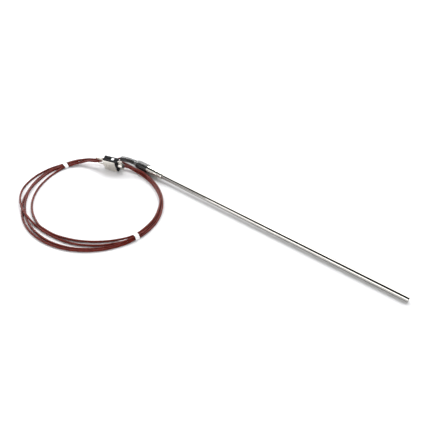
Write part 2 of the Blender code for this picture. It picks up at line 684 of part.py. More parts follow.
def make_label(frame):
    """The write-on label on the plug's narrow side."""
    top = PLUG_WIDTH / 2 + GAP
    block("write_on_label", (1.2 * MM, -0.9 * MM, top), (4.6 * MM, 2.1 * MM, top + 0.25 * MM), LABEL, frame)


def probe_frame():
    frame = bpy.data.objects.new("probe_frame", None)
    bpy.context.collection.objects.link(frame)
    frame.location = (0, 0, AXIS_HEIGHT)
    frame.rotation_euler = (0, TILT, 0)
    return frame


def main():
    clear_scene()
    probe = probe_frame()
    make_sheath(probe)
    make_element(probe)
    make_transition(probe)
    make_shrink_sleeve(probe)
    plug = plug_frame()
    make_plug_shells(plug)
    make_pins(plug)
    make_clamp(plug)
    make_label(plug)
    make_coil()
    make_loose_leads()
    for number, angle in enumerate(TIE_ANGLES, 1):
        make_tie("coil_tie_%d" % number, angle)


main()
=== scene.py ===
"""A metal-sheathed thermocouple probe with its coiled lead and miniature plug, on a pale table.

Lengths are metres. The probe lies along X with its closed tip towards +X; the table is z = 0.
"""
import json
import math

import bmesh
import bpy
from mathutils import Euler, Matrix, Vector


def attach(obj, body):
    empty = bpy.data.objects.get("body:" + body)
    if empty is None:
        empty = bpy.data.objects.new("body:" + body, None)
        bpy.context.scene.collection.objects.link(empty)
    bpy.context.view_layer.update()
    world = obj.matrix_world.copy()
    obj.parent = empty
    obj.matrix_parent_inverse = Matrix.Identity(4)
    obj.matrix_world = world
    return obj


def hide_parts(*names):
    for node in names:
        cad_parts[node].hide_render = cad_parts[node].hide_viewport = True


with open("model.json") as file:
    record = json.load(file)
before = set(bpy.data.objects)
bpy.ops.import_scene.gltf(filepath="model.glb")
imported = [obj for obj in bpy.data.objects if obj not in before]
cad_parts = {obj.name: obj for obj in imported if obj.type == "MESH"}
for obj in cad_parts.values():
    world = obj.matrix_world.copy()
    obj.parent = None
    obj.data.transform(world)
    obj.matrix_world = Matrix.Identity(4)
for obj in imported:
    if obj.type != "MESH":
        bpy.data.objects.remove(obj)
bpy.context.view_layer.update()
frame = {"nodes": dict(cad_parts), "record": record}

MM = 0.001
GAP = 0.3 * MM

# ---------------------------------------------------------------- camera

CAMERA_PLACE = (0.2125, -0.3217, 0.3401)
CAMERA_ABOVE_HORIZON = 41.0
CAMERA_HEADING = 37.81
LENS = 38.93

view_data = bpy.data.cameras.new("camera")
view_data.lens = LENS
view_data.sensor_width = 36
view_data.clip_start = 0.01
view_data.clip_end = 50
camera = bpy.data.objects.new("camera", view_data)
bpy.context.collection.objects.link(camera)
camera.location = CAMERA_PLACE
camera.rotation_euler = (math.radians(90 - CAMERA_ABOVE_HORIZON), 0, math.radians(CAMERA_HEADING))
bpy.context.scene.camera = camera

# ---------------------------------------------------------------- sizes, as in the CAD model

SHEATH_RADIUS = 3.175 * MM
PROBE_LENGTH = 374.6 * MM
TIP_X = PROBE_LENGTH / 2
BACK_X = -PROBE_LENGTH / 2
SHEATH_SHOWN = 304.8 * MM
SHEATH_HIDDEN = 12 * MM
COLLAR_FRONT_X = TIP_X - SHEATH_SHOWN
COLLAR_LENGTH = 6.4 * MM
COLLAR_RADIUS = 4.15 * MM
SLEEVE_RADIUS = 4.75 * MM
SLEEVE_BORE = 3.95 * MM
SLEEVE_FRONT_X = COLLAR_FRONT_X - COLLAR_LENGTH - GAP
SLEEVE_BACK_X = SLEEVE_FRONT_X - 33.0 * MM
SHRINK_FRONT_X = COLLAR_FRONT_X - 24.4 * MM
SHRINK_WIDE_RADIUS = 5.5 * MM
SHRINK_NARROW_RADIUS = 3.3 * MM
SHRINK_WIDE_BACK_X = SHRINK_FRONT_X - 19.5 * MM
SHRINK_BEND_X = SHRINK_FRONT_X - 22.5 * MM
SHRINK_DROOP = 2.2 * MM
TIP_ROUND = 0.8 * MM
TILT = math.asin((SHRINK_WIDE_RADIUS - SHEATH_RADIUS) / (TIP_X - TIP_ROUND - SHRINK_FRONT_X))
AXIS_HEIGHT = SHRINK_WIDE_RADIUS * math.cos(TILT) + SHRINK_FRONT_X * math.sin(TILT)
PROBE = Matrix.Translation((0, 0, AXIS_HEIGHT)) @ Matrix.Rotation(TILT, 4, "Y")

CORD_RADIUS = 1.2 * MM
PLUG_CENTRE = Vector((-180.9 * MM, -23.0 * MM, 10.1 * MM))
PLUG_TURN = Euler((math.radians(16), math.radians(2), math.radians(18)), "XYZ")
PLUG = Matrix.Translation(PLUG_CENTRE) @ PLUG_TURN.to_matrix().to_4x4()
PLUG_LENGTH = 19.0 * MM
PLUG_WIDTH = 16.3 * MM
PLUG_DEPTH = 8.4 * MM
PLATE_BACK_X = 7.6 * MM
STRAP_BACK_X = 15.2 * MM
STRAP_THICKNESS = 0.7 * MM
PLATE_THICKNESS = 0.8 * MM
GROMMET_RADIUS = 2.3 * MM

# The coil: an oval on the table, four turns wound from the probe's end to the plug
COIL_CENTRE = Vector((-154 * MM, -79 * MM, 0))
COIL_RADIUS = 77 * MM
COIL_SWING = 7 * MM
TURNS = 4
FIRST_ANGLE = 150.0
LAST_ANGLE = 435.0 + 360 * (TURNS - 1)
TIE_ANGLES = (163.0, 350.5)
TIE_WIDTH = 4.4 * MM


def twisted(outside, height, twist, radius=1.46):
    """Three turns wound round each other: each one's place on a small circle, in millimetres."""
    places = []
    for start in (210, 90, 330):
        angle = math.radians(start + twist)
        places.append((outside + radius * math.cos(angle), height + radius * math.sin(angle)))
    return places


# One row for each station round a turn, in degrees and millimetres. Each of the four turns has
# its distance outside the oval and the height of its middle. The first three twist together
# where they climb to the plug; the last has left the coil by then.
STATIONS = (
    (150.0, (2.60, 4.30), (0.30, 5.40), (-1.10, 3.40), (-3.45, 3.90)),
    (155.0, (3.50, 3.40), (1.15, 3.90), (-0.90, 2.70), (-3.20, 3.30)),
    (159.5, (4.10, 2.45), (1.75, 2.45), (-0.60, 2.45), (-2.95, 2.45)),
    (164.5, (4.10, 2.10), (1.75, 2.10), (-0.60, 2.10), (-2.95, 2.10)),
    (168.0, (4.60, 1.90), (2.10, 1.90), (-0.35, 1.90), (-3.40, 1.90)),
    (175.0, (6.40, 1.40), (3.40, 1.30), (0.80, 1.30), (-5.60, 1.30)),
    (190.0, (8.10, 1.20), (1.40, 1.20), (-1.00, 1.20), (-8.80, 1.20)),
    (205.0, (7.90, 1.50), (0.30, 1.20), (-1.70, 2.50), (-9.80, 1.20)),
    (218.0, (5.00, 2.60), (1.40, 1.20), (-1.15, 1.20), (-9.10, 1.20)),
    (231.0, (2.20, 3.65), (3.10, 1.20), (-0.25, 1.20), (-7.80, 1.20)),
    (244.0, (-0.10, 3.20), (5.35, 1.20), (1.50, 1.20), (-6.20, 1.20)),
    (260.0, (-1.85, 1.30), (7.50, 1.20), (3.70, 1.20), (-4.30, 1.20)),
    (270.0, (-2.20, 1.20), (8.10, 1.20), (4.40, 1.20), (-4.80, 1.20)),
    (280.0, (-2.50, 1.20), (8.40, 1.20), (5.00, 1.20), (-5.10, 1.20)),
    (300.0, (-2.00, 1.20), (7.40, 1.20), (4.60, 1.20), (-7.00, 1.20)),
    (320.0, (-1.80, 1.20), (5.60, 1.20), (3.10, 1.20), (-7.60, 1.20)),
    (337.0, (-0.55, 1.30), (4.20, 1.30), (1.85, 1.30), (-5.50, 1.30)),
    (342.0, (0.35, 1.60), (4.30, 1.60), (2.30, 3.00), (-2.70, 2.70)),
    (348.3, (1.40, 2.05), (3.80, 2.05), (2.60, 4.08), (0.20, 4.08)),
    (354.0, (1.40, 2.05), (3.80, 2.05), (2.60, 4.08), (0.20, 4.08)),
    (360.0, (-1.40, 1.40), (3.30, 1.60), (0.90, 2.20), (-0.75, 3.95)),
    (365.0, (-2.50, 1.30), (2.90, 1.40), (-0.10, 1.30), (-1.30, 3.40)),
    (375.0, (-2.70, 1.20), (2.30, 1.70), (-0.30, 1.20), (-1.50, 3.30)),
    (386.0, (-2.50, 1.20), (1.70, 2.90), (-0.10, 1.20), (-1.60, 3.30)),
    (397.0, (-1.15, 1.20), (1.20, 3.60), (1.25, 1.20), (-1.15, 3.60)),
    (408.0, (-1.45, 1.20), (0.95, 3.60), (0.95, 1.20), (-1.45, 3.60)),
    (420.0, (-1.30, 1.20), (1.10, 3.60), (1.10, 1.20), (-1.30, 3.60)),
    (427.0, (-1.05, 1.25), (1.45, 3.65), (1.40, 1.25), (-1.10, 5.00)),
    (435.0, (-0.70, 1.30), (1.80, 3.80), (1.70, 1.30), (-0.60, 6.40)),
    (450.0, *twisted(0.2, 3.3, 0), (-9.00, 4.00)),
    (458.5, *twisted(-0.3, 4.7, 37), (-9.00, 6.00)),
    (467.0, *twisted(-1.1, 6.0, 75), (-9.00, 8.00)),
    (475.5, *twisted(-1.5, 7.6, 115), (-9.00, 8.00)),
    (483.0, *twisted(-2.4, 8.5, 150, 1.5), (-9.00, 8.00)),
    (493.5, (-6.20, 9.70), (-8.40, 8.70), (-10.60, 9.70), (-9.00, 8.00)),
    (503.0, (-2.40, 7.70), (-4.60, 6.70), (-6.80, 7.70), (-9.00, 8.00)),
)

EXIT_ROUTE = (
    (-187.8, -2.3, 3.55),
    (-190.2, -3.1, 2.95),
    (-192.1, -5.9, 2.3),
    (-193.2, -10.2, 2.4),
    (-195.2, -14.6, 3.1),
    (-198.6, -18.9, 4.0),
    (-203.0, -22.5, 4.7),
    (-208.7, -25.7, 4.9),
    (-215.0, -29.1, 4.7),
    (-221.2, -33.1, 4.5),
)
PLUG_ROUTE = (
    (-149.5, -11.3, 7.7),
    (-155.2, -13.3, 8.5),
)

# ---------------------------------------------------------------- lead


def oval(angle):
    """The coil's middle radius at an angle in degrees."""
    return COIL_RADIUS + COIL_SWING * math.cos(2 * math.radians(angle))


def eased(keys, angle):
    """A smooth value at an angle, through keys of (angle, value)."""
    last = len(keys) - 2
    i = 0
    while i < last and angle > keys[i + 1][0]:
        i += 1
    slopes = []
    for j in (i, i + 1):
        before = keys[max(j - 1, 0)]
        after = keys[min(j + 1, len(keys) - 1)]
        slopes.append((after[1] - before[1]) / (after[0] - before[0]))
    span = keys[i + 1][0] - keys[i][0]
    t = (angle - keys[i][0]) / span
    return ((2 * t ** 3 - 3 * t ** 2 + 1) * keys[i][1] + (t ** 3 - 2 * t ** 2 + t) * span * slopes[0]
            + (3 * t ** 2 - 2 * t ** 3) * keys[i + 1][1] + (t ** 3 - t ** 2) * span * slopes[1])


def coil_keys(part):
    """The whole winding's keys of (angle, value): part 0 is the offset, part 1 the height."""
    keys = []
    for turn in range(TURNS):
        for row in STATIONS:
            angle = row[0] + 360 * turn
            if angle <= LAST_ANGLE:
                keys.append((angle, row[1 + turn][part] * MM))
    return keys


OFFSETS = coil_keys(0)
HEIGHTS = coil_keys(1)


def lead_height(angle):
    """The height of the lead's middle, which never sinks into the table."""
    return max(eased(HEIGHTS, angle), CORD_RADIUS + 0.02 * MM)


def coil_corner(angle, radius, height):
    turn = math.radians(angle)
    return COIL_CENTRE + Vector((radius * math.cos(turn), radius * math.sin(turn), height))


def coil_point(angle):
    """Where the lead's middle lies when it has wound to this angle."""
    return coil_corner(angle, oval(angle) + eased(OFFSETS, angle), lead_height(angle))


def smooth_route(points, steps):
    """Points read from a smooth curve through the route's own points."""
    route = []
    for i in range(len(points) - 1):
        p0 = points[max(i - 1, 0)]
        p1 = points[i]
        p2 = points[i + 1]
        p3 = points[min(i + 2, len(points) - 1)]
        for step in range(steps):
            t = step / steps
            route.append(0.5 * (2 * p1 + (p2 - p0) * t + (2 * p0 - 5 * p1 + 4 * p2 - p3) * t ** 2
                                + (3 * p1 - p0 - 3 * p2 + p3) * t ** 3))
    route.append(points[-1])
    return route


def lead_route():
    """The lead's whole centreline, from the shrink sleeve round the coil into the plug."""
    stations = [Vector(point) * MM for point in EXIT_ROUTE]
    angle = FIRST_ANGLE
    while angle <= LAST_ANGLE + 6:
        stations.append(coil_point(angle))
        angle += 4
    stations += [Vector(point) * MM for point in PLUG_ROUTE]
    face = PLUG_LENGTH / 2
    stations += [PLUG @ Vector((face + ahead, 0, 0)) for ahead in (14 * MM, 8 * MM, GAP)]
    return smooth_route(stations, 4)


def make_lead():
    points = lead_route()
    curve = bpy.data.curves.new("lead", "CURVE")
    curve.dimensions = "3D"
    curve.bevel_depth = CORD_RADIUS
    curve.bevel_resolution = 6
    curve.use_fill_caps = True
    spline = curve.splines.new("POLY")
    spline.points.add(len(points) - 1)
    for target, point in zip(spline.points, points):
        target.co = (*point, 1)
    spline.use_smooth = True
    lead = bpy.data.objects.new("lead", curve)
    bpy.context.collection.objects.link(lead)
    length = sum((b - a).length for a, b in zip(points, points[1:]))
    return lead, points[0], length


# ---------------------------------------------------------------- materials


class Finish:
    """A procedural Principled material, built node by node."""

    def __init__(self, name, roughness, metallic=0.0, **sockets):
        self.material = bpy.data.materials.new(name)
        self.material.use_nodes = True
        self.tree = self.material.node_tree
        self.shader = self.tree.nodes["Principled BSDF"]
        self.shader.inputs["Roughness"].default_value = roughness
        self.shader.inputs["Metallic"].default_value = metallic
        for socket, value in sockets.items():
            self.shader.inputs[socket.replace("_", " ")].default_value = value

    def node(self, kind, **values):
        made = self.tree.nodes.new(kind)
        for key, value in values.items():
            setattr(made, key, value)
        return made

    def noise(self, scale, detail=4.0, stretch=(1, 1, 1), roughness=0.5):
        """Noise in the object's own coordinates, optionally drawn out along an axis."""
        place = self.node("ShaderNodeTexCoord")
        mapping = self.node("ShaderNodeMapping")
        mapping.inputs["Scale"].default_value = stretch
        noise = self.node("ShaderNodeTexNoise")
        noise.inputs["Scale"].default_value = scale
        noise.inputs["Detail"].default_value = detail
        noise.inputs["Roughness"].default_value = roughness
        self.tree.links.new(place.outputs["Object"], mapping.inputs["Vector"])
        self.tree.links.new(mapping.outputs["Vector"], noise.inputs["Vector"])
        return noise.outputs["Fac"]

    def ramp(self, source, stops):
        ramp = self.node("ShaderNodeValToRGB")
        while len(ramp.color_ramp.elements) < len(stops):
            ramp.color_ramp.elements.new(0.5)
        for element, (position, colour) in zip(ramp.color_ramp.elements, stops):
            element.position = position
            element.color = (*colour, 1)
        self.tree.links.new(source, ramp.inputs["Fac"])
        return ramp.outputs["Color"]

    def colour(self, source, dark, light, low=0.3, high=0.7):
        self.tree.links.new(self.ramp(source, ((low, dark), (high, light))), self.shader.inputs["Base Color"])
        return self

    def rough(self, source, low, high):
        spread = self.node("ShaderNodeMapRange")
        spread.inputs["To Min"].default_value = low
        spread.inputs["To Max"].default_value = high
        self.tree.links.new(source, spread.inputs["Value"])
        self.tree.links.new(spread.outputs["Result"], self.shader.inputs["Roughness"])
        return self

    def bump(self, source, distance, strength=1.0):
        bump = self.node("ShaderNodeBump")
        bump.inputs["Distance"].default_value = distance
        bump.inputs["Strength"].default_value = strength
        self.tree.links.new(source, bump.inputs["Height"])
        self.tree.links.new(bump.outputs["Normal"], self.shader.inputs["Normal"])
        return self


def metal(name, dark, light, roughness, scale=900.0, stretch=(0.06, 1, 1), grain=0.004 * MM):
    finish = Finish(name, roughness, 1.0)
    brushed = finish.noise(scale, 6.0, stretch)
    finish.colour(brushed, dark, light)
    finish.rough(finish.noise(scale * 0.3, 3.0), roughness * 0.85, roughness * 1.2)
    return finish.bump(brushed, grain).material


def plastic(name, dark, light, roughness, scale=600.0, grain=0.01 * MM, **sockets):
    finish = Finish(name, roughness, 0.0, **sockets)
    cloud = finish.noise(scale, 5.0)
    finish.colour(cloud, dark, light)
    finish.rough(finish.noise(scale * 0.4, 3.0), roughness * 0.88, roughness * 1.12)
    return finish.bump(finish.noise(scale * 4, 3.0), grain).material


FINISHES = {
    "sheath_steel": metal("sheath_steel", (0.36, 0.35, 0.33), (0.46, 0.45, 0.425), 0.05),
    "sleeve_steel": metal("sleeve_steel", (0.70, 0.69, 0.64), (0.80, 0.79, 0.74), 0.10,
                          stretch=(1, 0.08, 0.08)),
    "plated_steel": metal("plated_steel", (0.60, 0.57, 0.52), (0.72, 0.69, 0.64), 0.36, 500.0, (1, 1, 1)),
    "magnesia": plastic("magnesia", (0.74, 0.72, 0.66), (0.85, 0.83, 0.78), 0.9, 900.0, 0.05 * MM),
    "iron": metal("iron", (0.34, 0.33, 0.32), (0.45, 0.44, 0.43), 0.35),
    "constantan": metal("constantan", (0.55, 0.48, 0.38), (0.67, 0.59, 0.48), 0.3),
    "positive_pin": metal("positive_pin", (0.62, 0.59, 0.52), (0.76, 0.73, 0.66), 0.3),
    "negative_pin": metal("negative_pin", (0.72, 0.68, 0.58), (0.84, 0.80, 0.71), 0.3),
    "epoxy": plastic("epoxy", (0.05, 0.045, 0.04), (0.09, 0.08, 0.07), 0.35),
    "lead_jacket": plastic("lead_jacket", (0.070, 0.007, 0.004), (0.135, 0.015, 0.009), 0.25, 220.0,
                           0.006 * MM, Specular_IOR_Level=0.13),
    "shrink_tube": plastic("shrink_tube", (0.003, 0.003, 0.003), (0.007, 0.007, 0.008), 0.22, 260.0,
                           0.03 * MM, IOR=1.75),
    "tie_white": plastic("tie_white", (0.86, 0.86, 0.86), (0.93, 0.93, 0.93), 0.5, 900.0, 0.02 * MM),
    "plug_body": plastic("plug_body", (0.002, 0.002, 0.003), (0.005, 0.005, 0.006), 0.45, 900.0, 0.02 * MM,
                         Specular_IOR_Level=0.15),
    "grommet_rubber": plastic("grommet_rubber", (0.010, 0.010, 0.010), (0.020, 0.020, 0.020), 0.65, 900.0,
                              0.03 * MM),
    "label_white": plastic("label_white", (0.88, 0.88, 0.88), (0.95, 0.95, 0.95), 0.7, 1500.0, 0.01 * MM),
}

# ---------------------------------------------------------------- making pieces


def finished(name, shape, matrix, sharp=35):
    """A bmesh closed and turned outwards, moved into place, as an object."""
    bmesh.ops.remove_doubles(shape, verts=shape.verts, dist=1e-7)
    bmesh.ops.transform(shape, matrix=matrix, verts=shape.verts)
    bmesh.ops.recalc_face_normals(shape, faces=shape.faces)
    mesh = bpy.data.meshes.new(name)
    shape.to_mesh(mesh)
    shape.free()
    mesh.shade_smooth()
    mesh.set_sharp_from_angle(angle=math.radians(sharp))
    thing = bpy.data.objects.new(name, mesh)
    bpy.context.collection.objects.link(thing)
    return thing


def fitted(thing, slot, *nodes):
    """Gives a piece its finish, lets it ride, and hides the CAD nodes that it stands for."""
    thing.data.materials.append(FINISHES[slot])
    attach(thing, "root")
    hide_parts(*nodes)
    return thing


def bridge(shape, rings, closed):
    """Skins a row of rings of vertices, closing the row on itself or capping its ends."""
    count = len(rings[0])
    for i in range(len(rings) - (0 if closed else 1)):
        near = rings[i]
        far = rings[(i + 1) % len(rings)]
        for j in range(count):
            k = (j + 1) % count
            shape.faces.new((near[j], near[k], far[k], far[j]))
    if not closed:
        shape.faces.new(rings[0])
        shape.faces.new(rings[-1])


def turned(name, outline, matrix, segments=96):
    """A ring or solid turned round the X axis from a closed outline of (x, radius) points."""
    shape = bmesh.new()
    rings = []
    for segment in range(segments):
        angle = math.tau * segment / segments
        rings.append([shape.verts.new((x, radius * math.cos(angle), radius * math.sin(angle)))
                      for x, radius in outline])
    bridge(shape, rings, closed=True)
    bmesh.ops.dissolve_degenerate(shape, dist=1e-8, edges=shape.edges)
    return finished(name, shape, matrix)


def fillet(centre, radius, start, end, steps=6):
    """Points on an arc between two angles in degrees."""
    points = []
    for step in range(steps + 1):
        angle = math.radians(start + (end - start) * step / steps)
        points.append((centre[0] + radius * math.cos(angle), centre[1] + radius * math.sin(angle)))
    return points


lead, lead_start, lead_length = make_lead()
fitted(lead, "lead_jacket", "lead_exit", "lead_coil", "lead_to_plug")


# ---------------------------------------------------------------- probe


def soften(outline, radius, steps=3):
    """The same closed outline with each corner cut back and rounded."""
    rounded = []
    count = len(outline)
    for i in range(count):
        corner = Vector(outline[i])
        before = Vector(outline[i - 1]) - corner
        after = Vector(outline[(i + 1) % count]) - corner
        if corner.y < 1e-9:
            rounded.append(tuple(corner))
            continue
        reach = min(radius, 0.4 * before.length, 0.4 * after.length)
        start = corner + before.normalized() * reach
        end = corner + after.normalized() * reach
        for step in range(steps + 1):
            t = step / steps
            rounded.append(tuple((1 - t) ** 2 * start + 2 * t * (1 - t) * corner + t ** 2 * end))
    return rounded


def make_sheath():
    """The closed steel tube, with the weld line of its end cap and a rounded rim."""
    wall = 0.7 * MM
    weld = TIP_X - 1.9 * MM
    outer = [
        (COLLAR_FRONT_X - SHEATH_HIDDEN, SHEATH_RADIUS),
        (weld - 0.22 * MM, SHEATH_RADIUS),
        (weld, SHEATH_RADIUS - 0.07 * MM),
        (weld + 0.22 * MM, SHEATH_RADIUS),
    ]
    rim = fillet((TIP_X - 0.8 * MM, SHEATH_RADIUS - 0.8 * MM), 0.8 * MM, 90, 0)
    inner = [
        (TIP_X - 0.1 * MM, 0.6 * MM),
        (TIP_X - 0.12 * MM, 0),
        (TIP_X - 1.5 * MM, 0),
        (TIP_X - 1.5 * MM, SHEATH_RADIUS - wall),
        (COLLAR_FRONT_X - SHEATH_HIDDEN, SHEATH_RADIUS - wall),
    ]
    fitted(turned("probe_sheath", outer + rim + inner, PROBE), "sheath_steel", "sheath", "tip_cap")


def make_collar():
    back = COLLAR_FRONT_X - COLLAR_LENGTH
    bore = SHEATH_RADIUS + 0.03 * MM
    outline = [
        (back, bore),
        (back, COLLAR_RADIUS - 0.25 * MM),
        (back + 0.25 * MM, COLLAR_RADIUS),
        (COLLAR_FRONT_X - 0.6 * MM, COLLAR_RADIUS),
        (COLLAR_FRONT_X, COLLAR_RADIUS - 0.4 * MM),
        (COLLAR_FRONT_X, bore),
    ]
    fitted(turned("probe_collar", soften(outline, 0.15 * MM), PROBE), "sleeve_steel", "sheath_collar")


def make_sleeve():
    """The polished sleeve with its turned groove and chamfered front."""
    bore = SLEEVE_BORE
    groove_x = SLEEVE_FRONT_X - 3.2 * MM
    outline = [
        (SLEEVE_BACK_X, bore),
        (SLEEVE_BACK_X, SLEEVE_RADIUS),
        (groove_x - 0.75 * MM, SLEEVE_RADIUS),
        (groove_x - 0.25 * MM, SLEEVE_RADIUS - 0.45 * MM),
        (groove_x + 0.25 * MM, SLEEVE_RADIUS - 0.45 * MM),
        (groove_x + 0.75 * MM, SLEEVE_RADIUS),
        (SLEEVE_FRONT_X - 0.75 * MM, SLEEVE_RADIUS),
        (SLEEVE_FRONT_X, SLEEVE_RADIUS - 0.75 * MM),
        (SLEEVE_FRONT_X, SHEATH_RADIUS + GAP),
        (SLEEVE_FRONT_X - 5 * MM, SHEATH_RADIUS + GAP),
        (SLEEVE_FRONT_X - 5 * MM, bore),
    ]
    fitted(turned("probe_sleeve", soften(outline, 0.14 * MM), PROBE), "sleeve_steel", "transition_sleeve")


def make_strain_relief():
    """Heat-shrink tube: wide over the sleeve, drawn down over the lead and bent where it leaves."""
    inside = SLEEVE_RADIUS + 0.02 * MM
    bore = CORD_RADIUS + 0.12 * MM
    shoulder = SLEEVE_BACK_X - GAP
    wide_back = SHRINK_WIDE_BACK_X
    outer = [
        (SHRINK_FRONT_X, inside),
        (SHRINK_FRONT_X, SHRINK_WIDE_RADIUS - 0.3 * MM),
        (SHRINK_FRONT_X - 0.3 * MM, SHRINK_WIDE_RADIUS),
        (wide_back + 5.0 * MM, SHRINK_WIDE_RADIUS),
    ]
    for step in range(1, 13):
        t = step / 12
        blend = t * t * (3 - 2 * t)
        outer.append((wide_back + 5.0 * MM - 8.0 * MM * t,
                      SHRINK_WIDE_RADIUS + (SHRINK_NARROW_RADIUS - SHRINK_WIDE_RADIUS) * blend))
    run = SHRINK_BEND_X - BACK_X
    for step in range(1, 24):
        x = SHRINK_BEND_X - run * step / 24
        outer.append((x, SHRINK_NARROW_RADIUS + 0.04 * MM * math.sin(step * 1.7)))
    lip = [
        (BACK_X + 0.4 * MM, SHRINK_NARROW_RADIUS),
        (BACK_X, SHRINK_NARROW_RADIUS - 0.35 * MM),
        (BACK_X, bore),
    ]
    hollow = [(BACK_X + run * step / 12, bore) for step in range(1, 13)]
    back = [(shoulder - 2 * MM, bore), (shoulder, SLEEVE_BORE), (shoulder, inside)]
    tube = turned("probe_strain_relief", outer + lip + hollow + back, Matrix.Identity(4), 72)
    for vertex in tube.data.vertices:
        along = (SHRINK_BEND_X - vertex.co.x) / run
        if along > 0:
            vertex.co.y -= SHRINK_DROOP * along ** 2
            vertex.co.z -= SHRINK_DROOP * along ** 2
    tube.data.transform(PROBE)
    fitted(tube, "shrink_tube", "strain_relief")


# ---------------------------------------------------------------- ties


def tie_outline(angle, grow, directions=80):
    """The tight outline round all turns at an angle, grown outwards, as points of (radius, height)."""
    middles = []
    for turn in range(TURNS):
        wound = angle + 360 * turn
        middles.append((oval(angle) + eased(OFFSETS, wound), lead_height(wound)))
    outline = []
    for step in range(directions):
        heading = math.tau * step / directions
        across, up = math.cos(heading), math.sin(heading)
        furthest = max(middles, key=lambda middle: middle[0] * across + middle[1] * up)
        outline.append((furthest[0] + (CORD_RADIUS + grow) * across, furthest[1] + (CORD_RADIUS + grow) * up))
    return outline


def make_tie(name, angle, node):
    """A white band drawn tight round the turns, its edges rounded."""
    shape = bmesh.new()
    half_turn = math.degrees(TIE_WIDTH / 2 / oval(angle))
    profile = []
    for part in (-1.0, -0.5, 0.0, 0.5, 1.0):
        profile.append((part * 0.97, 0.05 * MM))
    profile += [(1.0, 0.16 * MM), (1.0, 0.44 * MM), (0.95, 0.55 * MM)]
    profile += [(0.5, 0.58 * MM), (0.0, 0.58 * MM), (-0.5, 0.58 * MM)]
    profile += [(-0.95, 0.55 * MM), (-1.0, 0.44 * MM), (-1.0, 0.16 * MM)]
    rings = []
    for part, grow in profile:
        at = angle + part * half_turn
        rings.append([shape.verts.new(coil_corner(at, radius, height))
                      for radius, height in tie_outline(at, grow)])
    bridge(shape, rings, closed=True)
    fitted(finished(name, shape, Matrix.Identity(4)), "tie_white", node)


# ---------------------------------------------------------------- plug


def solid(name, outline, low, high, along="z", bevel=0.0, segments=3):
    """A flat outline drawn out between low and high along an axis of the plug, with softened edges."""
    shape = bmesh.new()
    rings = []
    for level in (low, high):
        ring = []
        for a, b in outline:
            place = {"x": (level, a, b), "y": (a, level, b), "z": (a, b, level)}[along]
            ring.append(shape.verts.new(place))
        rings.append(ring)
    bridge(shape, rings, closed=False)
    bmesh.ops.recalc_face_normals(shape, faces=shape.faces)
    if bevel:
        bmesh.ops.bevel(shape, geom=shape.edges[:], offset=bevel, segments=segments, affect="EDGES",
                        profile=0.5)
    return finished(name, shape, PLUG)


def rounded_rectangle(low, high, radius, steps=6):
    points = []
    for cx, cz, start in ((high[0] - radius, high[1] - radius, 0), (low[0] + radius, high[1] - radius, 90),
                          (low[0] + radius, low[1] + radius, 180), (high[0] - radius, low[1] + radius, 270)):
        points += fillet((cx, cz), radius, start, start + 90, steps)
    return points


def make_screw(name, x, seat, z, radius, height, turn, node):
    """A domed, slotted screw head with its plain shank behind."""
    shape = bmesh.new()
    head = [(0, 0), (0, radius * 0.96), (-0.1 * height, radius), (-0.5 * height, radius)]
    head += fillet((-0.5 * height, radius - 0.5 * height), 0.5 * height, 90, 180, 5)
    profile = [(2.9 * MM, 0), (2.9 * MM, 0.5 * radius), (0, 0.5 * radius)] + head[1:] + [(-height, 0)]
    segments = 40
    rings = []
    for segment in range(segments):
        angle = math.tau * segment / segments
        rings.append([shape.verts.new((out * math.cos(angle), along, out * math.sin(angle)))
                      for along, out in profile])
    bridge(shape, rings, closed=True)
    bmesh.ops.dissolve_degenerate(shape, dist=1e-8, edges=shape.edges)
    half_slot = 0.16 * radius
    bite = Matrix.Rotation(turn, 3, "Y")
    for vertex in shape.verts:
        flat = bite @ vertex.co
        if abs(flat.x) < half_slot and vertex.co.y < -0.6 * height:
            vertex.co.y = -0.55 * height
    bmesh.ops.translate(shape, verts=shape.verts, vec=(x, seat, z))
    fitted(finished(name, shape, PLUG, 30), "plated_steel", node)


def make_plate():
    """The metal plate over the cover: a plain pressed sheet with rounded corners and three screws."""
    face = -PLUG_DEPTH / 2 - GAP
    outline = rounded_rectangle((-PLUG_LENGTH / 2 + 0.6 * MM, -PLUG_WIDTH / 2 + 0.05 * MM),
                                (PLATE_BACK_X, PLUG_WIDTH / 2 - 0.05 * MM), 0.6 * MM, 4)
    plate = solid("plug_plate", outline, face - PLATE_THICKNESS, face + 0.25 * MM, "y", 0.18 * MM)
    fitted(plate, "plated_steel", "clamp_plate")
    for name, x, z, turn, node in (("plate_screw_upper", -6.3 * MM, 1.6 * MM, 0.5, "cover_screw_upper"),
                                   ("plate_screw_lower", -3.2 * MM, 0.0, 1.2, "cover_screw_lower"),
                                   ("plate_screw_rear", 6.1 * MM, -6.3 * MM, 2.1, "cover_screw_rear")):
        make_screw(name, x, face - PLATE_THICKNESS, z, 1.15 * MM, 0.7 * MM, turn, node)


